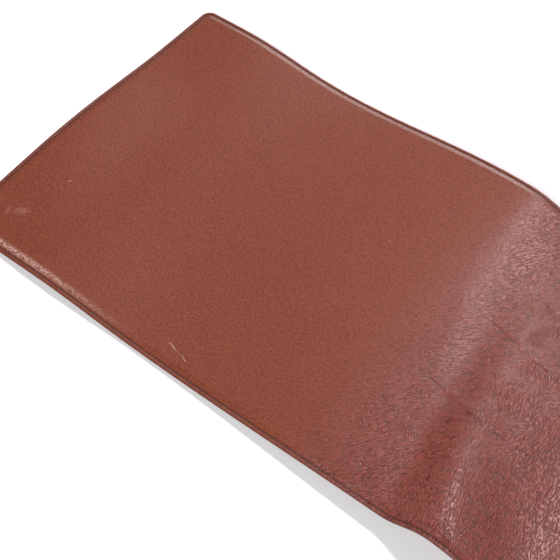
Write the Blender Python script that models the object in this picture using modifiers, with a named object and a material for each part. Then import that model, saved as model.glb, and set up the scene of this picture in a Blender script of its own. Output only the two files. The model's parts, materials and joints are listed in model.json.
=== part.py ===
"""A padded and sewn leather desk mat that lies on a table in a gentle wave.

Units are metres and +Z is up. The mat's long side runs along X and its short side along Y.
The origin is the middle of the mat's footprint, at the height of the table.

Each layer is modelled flat, at its level in the stack, and is then laid: every point rises by the
height of one wave, which all the layers share, so they stay parallel.
"""

import math
from collections import namedtuple

import bmesh
import bpy

# Plan of the mat.
LENGTH = 0.700
WIDTH = 0.350
CORNER_RADIUS = 0.010

# Thickness of each layer, and the clearance between layers that touch on a real mat.
LINING = 0.0006
LEATHER = 0.0008
TAPE = 0.0004
BOARD = 0.0008
PADDING = 0.0030
GAP = 0.00025

# The sewn rim. Distances are inwards from the mat's outer edge.
SEAM_INSET = 0.0036
LINING_INSET = 0.0016
TAPE_INSET = 0.0013
TAPE_END = 0.0065
PADDING_INSET = 0.0075
LIP_END = 0.0085
BOARD_INSET = 0.0090
PINCH = 0.00085  # the seam lifts the rim's underside this far off the table
PINCH_START = 0.0050
PINCH_END = 0.0120
SHOULDER_START = 0.0046
SHOULDER_END = 0.0115
NEEDLE_THREAD_RADIUS = 0.0003
BOBBIN_THREAD_RADIUS = 0.00025

# Levels of the layers above the mat's underside.
LIP_LEVEL = LINING + GAP
BOARD_LEVEL = LINING + GAP
TAPE_LEVEL = LIP_LEVEL + LEATHER + GAP
RIM_TOP = TAPE_LEVEL + TAPE + GAP + LEATHER
PADDING_LEVEL = BOARD_LEVEL + BOARD + GAP
FIELD_TOP = PADDING_LEVEL + PADDING + GAP + LEATHER
FOLD_RADIUS = (RIM_TOP - LIP_LEVEL) / 2

# Grid lines: the rim's own lines, then even steps across the field.
RIM_LINES = (SEAM_INSET, PINCH_START, PADDING_INSET, CORNER_RADIUS, 0.0125)
FIELD_STEPS_ALONG = 40
FIELD_STEPS_ACROSS = 7
FOLD_STEPS = 6

# The wave. Places are distances from the left end and from the front edge.
Swell = namedtuple("Swell", "x y half_x half_y height")
SWELLS = (
    Swell(x=0.000, y=0.150, half_x=0.090, half_y=0.147, height=0.0068),  # left end
    Swell(x=0.119, y=0.000, half_x=0.100, half_y=0.140, height=0.0033),  # front edge
    Swell(x=0.071, y=0.350, half_x=0.083, half_y=0.120, height=0.0043),  # back edge
)
Bend = namedtuple("Bend", "crest rise fall height")
BEND_FRONT = Bend(crest=0.548, rise=0.326, fall=0.095, height=0.0137)
BEND_BACK = Bend(crest=0.390, rise=0.232, fall=0.093, height=0.0250)
BEND_CURVE = 2.4  # how strongly the crest line curves between the two edges
BEND_SWELL = 2.6  # how late the bend gains height on its way to the back edge
Ridge = namedtuple("Ridge", "x y lean rise fall half_y height")
RIDGE = Ridge(x=0.514, y=0.090, lean=-0.229, rise=0.049, fall=0.096, half_y=0.300, height=0.018)

NAME = "desk_mat"


def clamp(value, low, high):
    """Return value, kept between low and high."""
    return max(low, min(high, value))


def smooth_step(start, end, value):
    """Return 0 before start and 1 after end, with a smooth change between them."""
    t = clamp((value - start) / (end - start), 0.0, 1.0)
    return t * t * (3 - 2 * t)


def raised_cosine(u):
    """Return 1 at u = 0, falling smoothly to exactly 0 at u = -1 and u = 1."""
    return 0.5 * (1 + math.cos(math.pi * clamp(u, -1.0, 1.0)))


def mix(a, b, share):
    """Return the value that lies the given share of the way from a to b."""
    return a + (b - a) * share


def bend_height(along, across):
    """Return the height of the main bend, whose crest runs in a curve across the mat."""
    share = across / WIDTH
    crest = mix(BEND_BACK.crest, BEND_FRONT.crest, (1 - share) ** BEND_CURVE)
    height = mix(BEND_FRONT.height, BEND_BACK.height, share**BEND_SWELL)
    if along < crest:
        half = mix(BEND_FRONT.rise, BEND_BACK.rise, share)
    else:
        half = mix(BEND_FRONT.fall, BEND_BACK.fall, share)
    return height * raised_cosine((along - crest) / half)


def ridge_height(along, across):
    """Return the height of the second ridge, which runs aslant past the main bend."""
    past = along - RIDGE.x - RIDGE.lean * (across - RIDGE.y)
    share = raised_cosine(past / (RIDGE.rise if past < 0 else RIDGE.fall))
    return RIDGE.height * share * raised_cosine((across - RIDGE.y) / RIDGE.half_y)


def wave(x, y):
    """Return how far the mat's underside stands off the table at a point of its plan."""
    along = clamp(x + LENGTH / 2, 0.0, LENGTH)
    across = clamp(y + WIDTH / 2, 0.0, WIDTH)
    height = bend_height(along, across) + ridge_height(along, across)
    for swell in SWELLS:
        share = raised_cosine((along - swell.x) / swell.half_x)
        height += swell.height * share * raised_cosine((across - swell.y) / swell.half_y)
    return height


def corner_offset(x, y):
    """Return how far a point lies past the centre of its corner's arc, along X and along Y."""
    return (
        abs(x) - (LENGTH / 2 - CORNER_RADIUS),
        abs(y) - (WIDTH / 2 - CORNER_RADIUS),
    )


def rounded(x, y):
    """Move a point of the square-cornered plan to its place in the round-cornered plan."""
    over_x, over_y = corner_offset(x, y)
    if over_x <= 0 or over_y <= 0:
        return x, y
    shrink = 1 - max(over_x, over_y) / math.hypot(over_x, over_y)
    return (
        x - math.copysign(over_x * shrink, x),
        y - math.copysign(over_y * shrink, y),
    )


def inset(x, y):
    """Return how far a point of the plan lies inside the mat's outer edge."""
    over_x, over_y = corner_offset(x, y)
    if over_x > 0 and over_y > 0:
        return CORNER_RADIUS - math.hypot(over_x, over_y)
    return CORNER_RADIUS - max(over_x, over_y)


def outward(x, y):
    """Return the unit direction from a point near the rim to the nearest point of the edge."""
    over_x, over_y = corner_offset(x, y)
    if over_x > 0 and over_y > 0:
        size = math.hypot(over_x, over_y)
        return math.copysign(over_x / size, x), math.copysign(over_y / size, y)
    if over_x > over_y:
        return math.copysign(1.0, x), 0.0
    return 0.0, math.copysign(1.0, y)


def underside(edge):
    """Return the level of the mat's underside at a distance from its edge."""
    return PINCH * (1 - smooth_step(PINCH_START, PINCH_END, edge))


def top_side(edge):
    """Return the level of the leather's top face at a distance from the mat's edge."""
    rim = underside(edge) + RIM_TOP
    return mix(rim, FIELD_TOP, smooth_step(SHOULDER_START, SHOULDER_END, edge))


def grid_lines(size, first, steps):
    """Return a layer's grid lines along one side of the mat, centred on the origin.

    The layer starts at distance `first` from the edge. Past the rim's own lines, every layer has
    the same lines, so that the faces of two layers are parallel.
    """
    rim = [first] + [line for line in RIM_LINES if line > first + GAP]
    last = rim[-1]
    field = [mix(last, size - last, i / steps) for i in range(1, steps)]
    return [d - size / 2 for d in rim + field + [size - line for line in reversed(rim)]]


def grid(lines_x, lines_y):
    """Return a bmesh sheet whose vertices lie where the grid lines cross."""
    sheet = bmesh.new()
    count_x, count_y = len(lines_x) - 1, len(lines_y) - 1
    bmesh.ops.create_grid(sheet, x_segments=count_x, y_segments=count_y, size=1.0)
    for vert in sheet.verts:
        column = round((vert.co.x + 1) / 2 * count_x)
        row = round((vert.co.y + 1) / 2 * count_y)
        vert.co = (lines_x[column], lines_y[row], 0.0)
    return sheet


def lay(shape):
    """Raise every vertex of a flat layer by the wave that the mat lies in."""
    for vert in shape.verts:
        vert.co.z += wave(vert.co.x, vert.co.y)


def finish_mesh(name, shape, collection):
    """Turn a bmesh into a smooth-shaded object of the collection."""
    bmesh.ops.recalc_face_normals(shape, faces=shape.faces)
    mesh = bpy.data.meshes.new(name)
    shape.to_mesh(mesh)
    shape.free()
    mesh.shade_smooth()
    mesh.set_sharp_from_angle(angle=math.radians(40))
    obj = bpy.data.objects.new(name, mesh)
    collection.objects.link(obj)
    return obj


def slab(sheet, bottom, top):
    """Thicken a flat sheet into a closed body between two levels, and lay it.

    `bottom` and `top` give the level at a distance from the mat's edge.
    """
    raised = bmesh.ops.extrude_face_region(sheet, geom=list(sheet.faces))
    upper = {item for item in raised["geom"] if isinstance(item, bmesh.types.BMVert)}
    for vert in sheet.verts:
        level = top if vert in upper else bottom
        vert.co.z = level(inset(vert.co.x, vert.co.y))
    lay(sheet)
    return sheet


def layer(name, first, bottom, top, collection):
    """Make a full-size layer that starts at distance `first` from the mat's edge."""
    sheet = grid(
        grid_lines(LENGTH, first, FIELD_STEPS_ALONG),
        grid_lines(WIDTH, first, FIELD_STEPS_ACROSS),
    )
    for vert in sheet.verts:
        vert.co.x, vert.co.y = rounded(vert.co.x, vert.co.y)
    return finish_mesh(name, slab(sheet, bottom, top), collection)


def make_lining(collection):
    """Make the thin underside sheet, which stops just short of the folded edge."""
    return layer("lining", LINING_INSET, underside, lambda e: underside(e) + LINING, collection)


def make_stiffener(collection):
    """Make the board, which lies inside the turned-in lip of the leather."""
    return layer(
        "stiffener",
        BOARD_INSET,
        lambda e: underside(e) + BOARD_LEVEL,
        lambda e: underside(e) + BOARD_LEVEL + BOARD,
        collection,
    )


def make_padding(collection):
    """Make the foam sheet, which is skived thin where the shoulder runs down to the rim."""
    return layer(
        "padding",
        PADDING_INSET,
        lambda e: underside(e) + PADDING_LEVEL,
        lambda e: top_side(e) - LEATHER - GAP,
        collection,
    )


def extrude_rim(sheet, edges, distance, level):
    """Extrude the sheet's open edge loop to a distance inside the mat's edge, at a level."""
    made = bmesh.ops.extrude_edge_only(sheet, edges=edges)["geom"]
    for vert in (item for item in made if isinstance(item, bmesh.types.BMVert)):
        x, y = vert.co.x, vert.co.y
        step = inset(x, y) - distance
        out_x, out_y = outward(x, y)
        vert.co = (x + out_x * step, y + out_y * step, level)
    return [item for item in made if isinstance(item, bmesh.types.BMEdge)]


def make_top_leather(collection):
    """Make the leather face with its folded edge and the lip that is turned in underneath."""
    sheet = grid(
        grid_lines(LENGTH, FOLD_RADIUS, FIELD_STEPS_ALONG),
        grid_lines(WIDTH, FOLD_RADIUS, FIELD_STEPS_ACROSS),
    )
    for vert in sheet.verts:
        vert.co.x, vert.co.y = rounded(vert.co.x, vert.co.y)
        vert.co.z = top_side(inset(vert.co.x, vert.co.y))
    edges = [edge for edge in sheet.edges if edge.is_boundary]
    middle = underside(0.0) + LIP_LEVEL + FOLD_RADIUS
    for step in range(1, FOLD_STEPS + 1):
        angle = math.pi / 2 - math.pi * step / FOLD_STEPS
        distance = FOLD_RADIUS * (1 - math.cos(angle))
        edges = extrude_rim(sheet, edges, distance, middle + FOLD_RADIUS * math.sin(angle))
    for distance in (PINCH_START, PADDING_INSET, LIP_END):
        edges = extrude_rim(sheet, edges, distance, underside(distance) + LIP_LEVEL)
    lay(sheet)
    obj = finish_mesh("top_leather", sheet, collection)
    shell = obj.modifiers.new("leather thickness", "SOLIDIFY")
    shell.thickness = LEATHER
    shell.offset = -1.0
    shell.use_even_offset = True
    return obj


def make_tape(name, side, sign, collection):
    """Make one straight strip of edge tape.

    `side` is "long" for the strips along X and "short" for those along Y, and `sign` is 1 for the
    back or right edge and -1 for the front or left edge.
    """
    size, depth = (LENGTH, WIDTH) if side == "long" else (WIDTH, LENGTH)
    steps = FIELD_STEPS_ALONG if side == "long" else FIELD_STEPS_ACROSS
    run = grid_lines(size, CORNER_RADIUS, steps)
    lines = [depth / 2 - TAPE_END, depth / 2 - PINCH_START, depth / 2 - TAPE_INSET]
    cross = [sign * line for line in lines]
    sheet = grid(run, cross) if side == "long" else grid(cross, run)
    slab(sheet, lambda e: underside(e) + TAPE_LEVEL, lambda e: underside(e) + TAPE_LEVEL + TAPE)
    return finish_mesh(name, sheet, collection)


def seam_path():
    """Return the plan points of the seam: four straight runs joined by corner arcs."""
    run_x = grid_lines(LENGTH, CORNER_RADIUS, FIELD_STEPS_ALONG)
    run_y = grid_lines(WIDTH, CORNER_RADIUS, FIELD_STEPS_ACROSS)
    edge_x, edge_y = LENGTH / 2 - SEAM_INSET, WIDTH / 2 - SEAM_INSET
    radius = CORNER_RADIUS - SEAM_INSET

    def arc(sign_x, sign_y, first_angle):
        centre = sign_x * run_x[-1], sign_y * run_y[-1]
        angles = [math.radians(first_angle + step) for step in (22.5, 45, 67.5)]
        return [
            (centre[0] + radius * math.cos(a), centre[1] + radius * math.sin(a)) for a in angles
        ]

    return (
        [(x, -edge_y) for x in run_x]
        + arc(1, -1, -90)
        + [(edge_x, y) for y in run_y]
        + arc(1, 1, 0)
        + [(x, edge_y) for x in reversed(run_x)]
        + arc(-1, 1, 90)
        + [(-edge_x, y) for y in reversed(run_y)]
        + arc(-1, -1, 180)
    )


def make_thread(name, level, radius, collection):
    """Make one thread of the seam as a closed loop of round cord at a level of the rim."""
    curve = bpy.data.curves.new(name, "CURVE")
    curve.dimensions = "3D"
    curve.bevel_depth = radius
    curve.bevel_resolution = 1
    points = seam_path()
    spline = curve.splines.new("POLY")
    spline.points.add(len(points) - 1)
    for point, (x, y) in zip(spline.points, points):
        point.co = (x, y, level + wave(x, y), 1.0)
    spline.use_cyclic_u = True
    spline.use_smooth = True
    obj = bpy.data.objects.new(name, curve)
    collection.objects.link(obj)
    return obj


def paint(obj, colour, roughness, metallic=0.0):
    """Give an object its own Principled material."""
    material = bpy.data.materials.new(obj.name)
    material.use_nodes = True
    shader = material.node_tree.nodes["Principled BSDF"]
    shader.inputs["Base Color"].default_value = (*colour, 1.0)
    shader.inputs["Roughness"].default_value = roughness
    shader.inputs["Metallic"].default_value = metallic
    obj.data.materials.append(material)


def main():
    """Build the whole mat in its own collection, under one empty."""
    for obj in list(bpy.data.objects):
        bpy.data.objects.remove(obj, do_unlink=True)
    collection = bpy.data.collections.new(NAME)
    bpy.context.scene.collection.children.link(collection)
    origin = bpy.data.objects.new(NAME + "_origin", None)
    collection.objects.link(origin)

    seam_top = top_side(SEAM_INSET) + GAP + NEEDLE_THREAD_RADIUS
    seam_bottom = underside(SEAM_INSET) - GAP - BOBBIN_THREAD_RADIUS
    needle = make_thread("needle_thread", seam_top, NEEDLE_THREAD_RADIUS, collection)
    bobbin = make_thread("bobbin_thread", seam_bottom, BOBBIN_THREAD_RADIUS, collection)
    tapes = [
        make_tape("edge_tape_front", "long", -1, collection),
        make_tape("edge_tape_back", "long", 1, collection),
        make_tape("edge_tape_left", "short", -1, collection),
        make_tape("edge_tape_right", "short", 1, collection),
    ]
    top = make_top_leather(collection)
    padding = make_padding(collection)
    board = make_stiffener(collection)
    lining = make_lining(collection)

    paint(top, (0.27, 0.085, 0.055), 0.45)
    paint(lining, (0.12, 0.06, 0.045), 0.9)
    paint(padding, (0.75, 0.74, 0.70), 0.95)
    paint(board, (0.35, 0.23, 0.14), 0.85)
    paint(needle, (0.16, 0.05, 0.035), 0.6)
    paint(bobbin, (0.16, 0.05, 0.035), 0.6)
    for tape in tapes:
        paint(tape, (0.80, 0.78, 0.72), 0.8)
    for obj in [top, padding, board, lining, needle, bobbin, *tapes]:
        obj.parent = origin


main()
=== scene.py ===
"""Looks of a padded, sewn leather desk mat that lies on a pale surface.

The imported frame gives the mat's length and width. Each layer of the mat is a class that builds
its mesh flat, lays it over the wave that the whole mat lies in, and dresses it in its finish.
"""

from __future__ import annotations

import json
import logging
import math
from collections.abc import Callable, Sequence
from dataclasses import dataclass
from enum import Enum

import bmesh
import bpy
import numpy as np
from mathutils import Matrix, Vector, noise

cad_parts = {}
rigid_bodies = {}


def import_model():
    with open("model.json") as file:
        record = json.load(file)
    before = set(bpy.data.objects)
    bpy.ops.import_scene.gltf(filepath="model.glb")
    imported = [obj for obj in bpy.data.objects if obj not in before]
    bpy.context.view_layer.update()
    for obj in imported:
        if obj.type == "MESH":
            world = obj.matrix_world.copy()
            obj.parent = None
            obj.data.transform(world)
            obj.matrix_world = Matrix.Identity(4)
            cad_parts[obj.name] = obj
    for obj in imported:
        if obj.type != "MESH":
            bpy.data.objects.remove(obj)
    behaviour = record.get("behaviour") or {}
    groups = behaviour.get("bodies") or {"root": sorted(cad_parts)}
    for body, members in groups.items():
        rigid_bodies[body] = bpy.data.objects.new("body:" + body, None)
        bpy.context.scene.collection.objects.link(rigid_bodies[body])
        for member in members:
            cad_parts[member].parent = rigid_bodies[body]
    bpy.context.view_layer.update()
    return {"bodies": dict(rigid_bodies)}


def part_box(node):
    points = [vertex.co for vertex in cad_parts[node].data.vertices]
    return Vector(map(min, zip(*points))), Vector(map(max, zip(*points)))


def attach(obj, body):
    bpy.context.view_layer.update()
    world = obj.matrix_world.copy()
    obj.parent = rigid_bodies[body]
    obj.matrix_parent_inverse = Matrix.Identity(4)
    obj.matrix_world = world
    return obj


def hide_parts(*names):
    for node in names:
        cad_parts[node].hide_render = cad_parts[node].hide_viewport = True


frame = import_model()
BODY = next(iter(frame["bodies"]))
LOG = logging.getLogger("desk_mat")

MM = 0.001
Array = np.ndarray
Level = Callable[[Array], Array]
Source = bpy.types.NodeSocket | float
EDGES = "DISTANCE_TO_EDGE"


class Side(Enum):
    """The four sides of the mat."""

    FRONT = "front"
    BACK = "back"
    LEFT = "left"
    RIGHT = "right"


# --------------------------------------------------------------------------------------------
# Curves and steps that several shapes share.


def smooth_step(start: float, end: float, value: Array) -> Array:
    """Ease from 0 to 1.

    Args:
        start: Where the change begins.
        end: Where the change ends.
        value: The places to read.

    Returns:
        0 before start, 1 after end, and a smooth change between them.
    """
    t = np.clip((value - start) / (end - start), 0.0, 1.0)
    return t * t * (3 - 2 * t)


def raised_cosine(u: Array) -> Array:
    """Return 1 at u = 0, falling smoothly to exactly 0 at u = -1 and u = 1."""
    return 0.5 * (1 + np.cos(np.pi * np.clip(u, -1.0, 1.0)))


def bell(u: Array) -> Array:
    """Return a bell curve of height 1 and half-width about 1."""
    return np.exp(-np.square(u))


def mix(a: Array | float, b: Array | float, share: Array | float) -> Array | float:
    """Return the value that lies the given share of the way from a to b."""
    return a + (b - a) * share


def soft_noise(x: Array, y: Array, size: float, seed: float) -> Array:
    """Read smooth noise over the plan.

    Args:
        x: Places along the mat, in metres.
        y: Places across the mat, in metres.
        size: The size of one lump of the noise, in metres.
        seed: A number that picks one pattern.

    Returns:
        Values from about -1 to 1.
    """
    return np.array([noise.noise(Vector((a / size, b / size, seed))) for a, b in zip(x, y)])


# --------------------------------------------------------------------------------------------
# The mat's plan, its wave and its section.


@dataclass(frozen=True)
class Plan:
    """The outline of the mat from above, centred on the origin."""

    length: float
    width: float
    corner_radius: float = 10 * MM

    @classmethod
    def of_node(cls, node: str) -> Plan:
        """Return the plan that a CAD node fills."""
        low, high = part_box(node)
        return cls(length=high.x - low.x, width=high.y - low.y)

    def past_corner(self, x: Array, y: Array) -> tuple[Array, Array]:
        """Return how far points lie past the centre of their corner's arc, along X and Y."""
        return (
            np.abs(x) - (self.length / 2 - self.corner_radius),
            np.abs(y) - (self.width / 2 - self.corner_radius),
        )

    def rounded(self, x: Array, y: Array) -> tuple[Array, Array]:
        """Move points of the square-cornered plan to their places in the round-cornered one."""
        over_x, over_y = self.past_corner(x, y)
        corner = (over_x > 0) & (over_y > 0)
        reach = np.where(corner, np.hypot(over_x, over_y), 1.0)
        shrink = np.where(corner, 1 - np.maximum(over_x, over_y) / reach, 0.0)
        return x - np.copysign(over_x * shrink, x), y - np.copysign(over_y * shrink, y)

    def inset(self, x: Array, y: Array) -> Array:
        """Return how far points lie inside the mat's outer edge."""
        over_x, over_y = self.past_corner(x, y)
        corner = (over_x > 0) & (over_y > 0)
        reach = np.where(corner, np.hypot(over_x, over_y), np.maximum(over_x, over_y))
        return self.corner_radius - reach

    def outward(self, x: Array, y: Array) -> tuple[Array, Array]:
        """Return the unit directions from points near the rim to the edge."""
        over_x, over_y = self.past_corner(x, y)
        corner = (over_x > 0) & (over_y > 0)
        reach = np.where(corner, np.hypot(over_x, over_y), 1.0)
        to_x = np.where(corner, over_x / reach, (over_x > over_y).astype(float))
        to_y = np.where(corner, over_y / reach, (over_x <= over_y).astype(float))
        return np.copysign(to_x, x), np.copysign(to_y, y)

    def lines(self, size: float, rim: Sequence[float], step: float) -> Array:
        """Space grid lines along one side.

        Args:
            size: The mat's size along that side.
            rim: The distances from the edge of the rim's own lines, outermost first.
            step: The greatest distance between two lines of the field.

        Returns:
            The lines' places, from one edge to the other, centred on the origin.
        """
        run = size - 2 * rim[-1]
        steps = math.ceil(run / step)
        field = rim[-1] + run * np.arange(1, steps) / steps
        return np.concatenate([rim, field, size - np.array(rim)[::-1]]) - size / 2

    def seam_length(self, inset: float) -> float:
        """Return the length of a line that runs round the mat at a distance from its edge."""
        straight = 2 * (self.length + self.width) - 8 * self.corner_radius
        return straight + 2 * math.pi * (self.corner_radius - inset)

    def seam_places(self, inset: float, distance: Array) -> tuple[Array, Array]:
        """Walk round the mat at a distance from its edge.

        Args:
            inset: How far inside the edge the walk runs.
            distance: How far each point is along it, from the front left corner's arc end.

        Returns:
            The points' X and Y.
        """
        half_x = self.length / 2 - self.corner_radius
        half_y = self.width / 2 - self.corner_radius
        radius = self.corner_radius - inset
        x, y = np.zeros_like(distance), np.zeros_like(distance)
        start = 0.0
        turns = ((1, -1, 2 * half_x), (1, 1, 2 * half_y), (-1, 1, 2 * half_x), (-1, -1, 2 * half_y))
        for turn, (sign_x, sign_y, run) in enumerate(turns):
            angle = math.pi / 2 * turn
            ahead = np.array([math.cos(angle), math.sin(angle)])
            aside = np.array([math.sin(angle), -math.cos(angle)])
            corner = np.array([sign_x * half_x, sign_y * half_y])
            on_run = (distance >= start) & (distance <= start + run)
            back = (distance[on_run] - start - run)[:, None]
            points = corner + aside * radius + ahead * back
            x[on_run], y[on_run] = points[:, 0], points[:, 1]
            start += run
            arc = radius * math.pi / 2
            on_arc = (distance > start) & (distance < start + arc)
            bend = (distance[on_arc] - start)[:, None] / radius
            points = corner + radius * (aside * np.cos(bend) + ahead * np.sin(bend))
            x[on_arc], y[on_arc] = points[:, 0], points[:, 1]
            start += arc
        return x, y

    def along_seam(self, inset: float, x: Array, y: Array) -> Array:
        """Return how far along the seam's walk the place nearest to each point lies."""
        half_x = self.length / 2 - self.corner_radius
        half_y = self.width / 2 - self.corner_radius
        arc = (self.corner_radius - inset) * math.pi / 2
        over_x, over_y = self.past_corner(x, y)
        corner = (over_x > 0) & (over_y > 0)
        tilt = np.arctan2(np.maximum(over_y, 1e-9), np.maximum(over_x, 1e-9)) / (math.pi / 2)
        starts = (0.0, 2 * half_x + arc, 2 * (half_x + half_y) + 2 * arc)
        starts += (4 * half_x + 2 * half_y + 3 * arc,)
        on_front = x + half_x
        on_right = starts[1] + y + half_y
        on_back = starts[2] + half_x - x
        on_left = starts[3] + half_y - y
        sides = np.where(y < 0, on_front, on_back)
        along = np.where(over_x > over_y, np.where(x > 0, on_right, on_left), sides)
        ends = (starts[1] - arc, starts[2] - arc, starts[3] - arc, self.seam_length(inset) - arc)
        turning = np.select(
            [(x > 0) & (y < 0), (x > 0) & (y > 0), (x < 0) & (y > 0)],
            [ends[0] + (1 - tilt) * arc, ends[1] + tilt * arc, ends[2] + (1 - tilt) * arc],
            ends[3] + tilt * arc,
        )
        return np.where(corner, turning, along)


@dataclass(frozen=True)
class Swell:
    """One low, round swell of the mat. Places are from the left end and the front edge."""

    x: float
    y: float
    half_x: float
    half_y: float
    height: float

    def rise(self, along: Array, across: Array) -> Array:
        """Return the swell's height at places of the plan."""
        share = raised_cosine((along - self.x) / self.half_x)
        return self.height * share * raised_cosine((across - self.y) / self.half_y)


@dataclass(frozen=True)
class Bend:
    """The main bend where it meets the front or the back edge."""

    crest: float
    rise: float
    fall: float
    height: float


@dataclass(frozen=True)
class Ridge:
    """A low ridge that runs aslant across the mat, and leans along it as it goes back."""

    x: float
    y: float
    lean: float
    rise: float
    fall: float
    half_y: float
    height: float

    def lift(self, along: Array, across: Array) -> Array:
        """Return the ridge's height at places of the plan."""
        past = along - self.x - self.lean * (across - self.y)
        share = raised_cosine(past / np.where(past < 0, self.rise, self.fall))
        return self.height * share * raised_cosine((across - self.y) / self.half_y)


@dataclass(frozen=True)
class Wave:
    """The wave that the mat lies in, as a height over its plan."""

    plan: Plan
    front: Bend = Bend(crest=0.548, rise=0.326, fall=0.095, height=0.0137)
    back: Bend = Bend(crest=0.390, rise=0.232, fall=0.093, height=0.0250)
    crest_curve: float = 2.4
    height_curve: float = 2.6
    ridge: Ridge = Ridge(
        x=0.514, y=0.090, lean=-0.229, rise=0.049, fall=0.096, half_y=0.300, height=0.018
    )
    swells: tuple[Swell, ...] = (
        Swell(x=0.000, y=0.150, half_x=0.090, half_y=0.147, height=0.0068),
        Swell(x=0.119, y=0.000, half_x=0.100, half_y=0.140, height=0.0033),
        Swell(x=0.071, y=0.350, half_x=0.083, half_y=0.120, height=0.0043),
    )

    def main_bend(self, along: Array, across: Array) -> Array:
        """Return the height of the main bend, whose crest runs in a curve across the mat."""
        share = across / self.plan.width
        crest = mix(self.back.crest, self.front.crest, (1 - share) ** self.crest_curve)
        height = mix(self.front.height, self.back.height, share**self.height_curve)
        rise = mix(self.front.rise, self.back.rise, share)
        fall = mix(self.front.fall, self.back.fall, share)
        half = np.where(along < crest, rise, fall)
        return height * raised_cosine((along - crest) / half)

    def height(self, x: Array, y: Array) -> Array:
        """Return how far the mat's underside stands off the table at points of its plan."""
        along = np.clip(x + self.plan.length / 2, 0.0, self.plan.length)
        across = np.clip(y + self.plan.width / 2, 0.0, self.plan.width)
        total = self.main_bend(along, across) + self.ridge.lift(along, across)
        for swell in self.swells:
            total = total + swell.rise(along, across)
        return total

    def up(self, x: Array, y: Array) -> Array:
        """Return the unit normals of the wave at points of the plan."""
        step = 0.5 * MM
        slope_x = (self.height(x + step, y) - self.height(x - step, y)) / (2 * step)
        slope_y = (self.height(x, y + step) - self.height(x, y - step)) / (2 * step)
        normal = np.stack([-slope_x, -slope_y, np.ones_like(slope_x)], axis=-1)
        return normal / np.linalg.norm(normal, axis=-1, keepdims=True)


@dataclass(frozen=True)
class Section:
    """The stack of layers in section. Levels are heights above the mat's underside."""

    gap: float = 0.25 * MM
    lining: float = 0.6 * MM
    leather: float = 0.8 * MM
    tape: float = 0.4 * MM
    board: float = 0.8 * MM
    padding: float = 3.0 * MM
    seam_inset: float = 3.6 * MM
    lining_inset: float = 1.6 * MM
    tape_inset: float = 1.3 * MM
    tape_end: float = 6.5 * MM
    padding_inset: float = 7.5 * MM
    lip_end: float = 8.5 * MM
    board_inset: float = 9.0 * MM
    pinch: float = 0.85 * MM
    pinch_start: float = 5.0 * MM
    pinch_end: float = 12.0 * MM
    shoulder_start: float = 4.6 * MM
    shoulder_end: float = 9.4 * MM
    groove: float = 0.32 * MM
    groove_half: float = 0.85 * MM
    tape_press: float = 0.2 * MM
    bead: float = 0.14 * MM
    bead_place: float = 1.9 * MM
    bead_half: float = 1.1 * MM

    @property
    def lip_level(self) -> float:
        """Return the level of the turned-in lip's lower face."""
        return self.lining + self.gap

    @property
    def tape_level(self) -> float:
        """Return the level of the edge tape's lower face."""
        return self.lip_level + self.leather + self.gap

    @property
    def rim_top(self) -> float:
        """Return the level of the leather's top face at the rim."""
        return self.tape_level + self.tape + self.gap + self.leather

    @property
    def padding_level(self) -> float:
        """Return the level of the padding's lower face."""
        return self.lip_level + self.board + self.gap

    @property
    def field_top(self) -> float:
        """Return the level of the leather's top face in the field."""
        return self.padding_level + self.padding + self.gap + self.leather

    @property
    def fold_radius(self) -> float:
        """Return the outer radius of the leather's fold."""
        return (self.rim_top - self.lip_level) / 2

    def underside(self, edge: Array) -> Array:
        """Return the level of the mat's underside at distances from its edge."""
        return self.pinch * (1 - smooth_step(self.pinch_start, self.pinch_end, edge))

    def channel(self, edge: Array) -> Array:
        """Return how deep the seam presses the leather at distances from the edge."""
        return self.groove * bell((edge - self.seam_inset) / self.groove_half)

    def top_side(self, edge: Array) -> Array:
        """Return the level of the leather's top face at distances from the mat's edge."""
        rim = self.underside(edge) + self.rim_top
        rise = smooth_step(self.shoulder_start, self.shoulder_end, edge)
        bead = self.bead * bell((edge - self.bead_place) / self.bead_half)
        return mix(rim, self.field_top, rise) - self.channel(edge) + bead


@dataclass(frozen=True)
class Crease:
    """A raised fold of the leather along a run of points, steeper towards the front edge.

    Its points are places from the left end and the front edge, in order along the mat.
    """

    points: tuple[tuple[float, float], ...]
    height: float
    steep: float
    gentle: float
    line: float = 1.7 * MM

    def lift(self, along: Array, across: Array) -> Array:
        """Return how far the fold stands above the leather round it."""
        run_x, run_y = np.array(self.points).T
        middle = np.interp(along, run_x, run_y)
        aside = across - middle
        share = np.clip((along - run_x[0]) / (run_x[-1] - run_x[0]), 0.0, 1.0)
        fade = smooth_step(0.0, 0.14, share) * smooth_step(0.0, 0.25, 1 - share)
        return self.height * fade * bell(aside / np.where(aside < 0, self.steep, self.gentle))


@dataclass(frozen=True)
class Dimple:
    """A soft round dent in the leather, or a bump where its depth is negative."""

    x: float
    y: float
    half_x: float
    half_y: float
    turn: float
    depth: float

    def lift(self, along: Array, across: Array) -> Array:
        """Return the dimple's height, below 0 for a dent."""
        over_x, over_y = along - self.x, across - self.y
        to_x = over_x * math.cos(self.turn) + over_y * math.sin(self.turn)
        to_y = over_y * math.cos(self.turn) - over_x * math.sin(self.turn)
        return -self.depth * bell(to_x / self.half_x) * bell(to_y / self.half_y)


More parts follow.
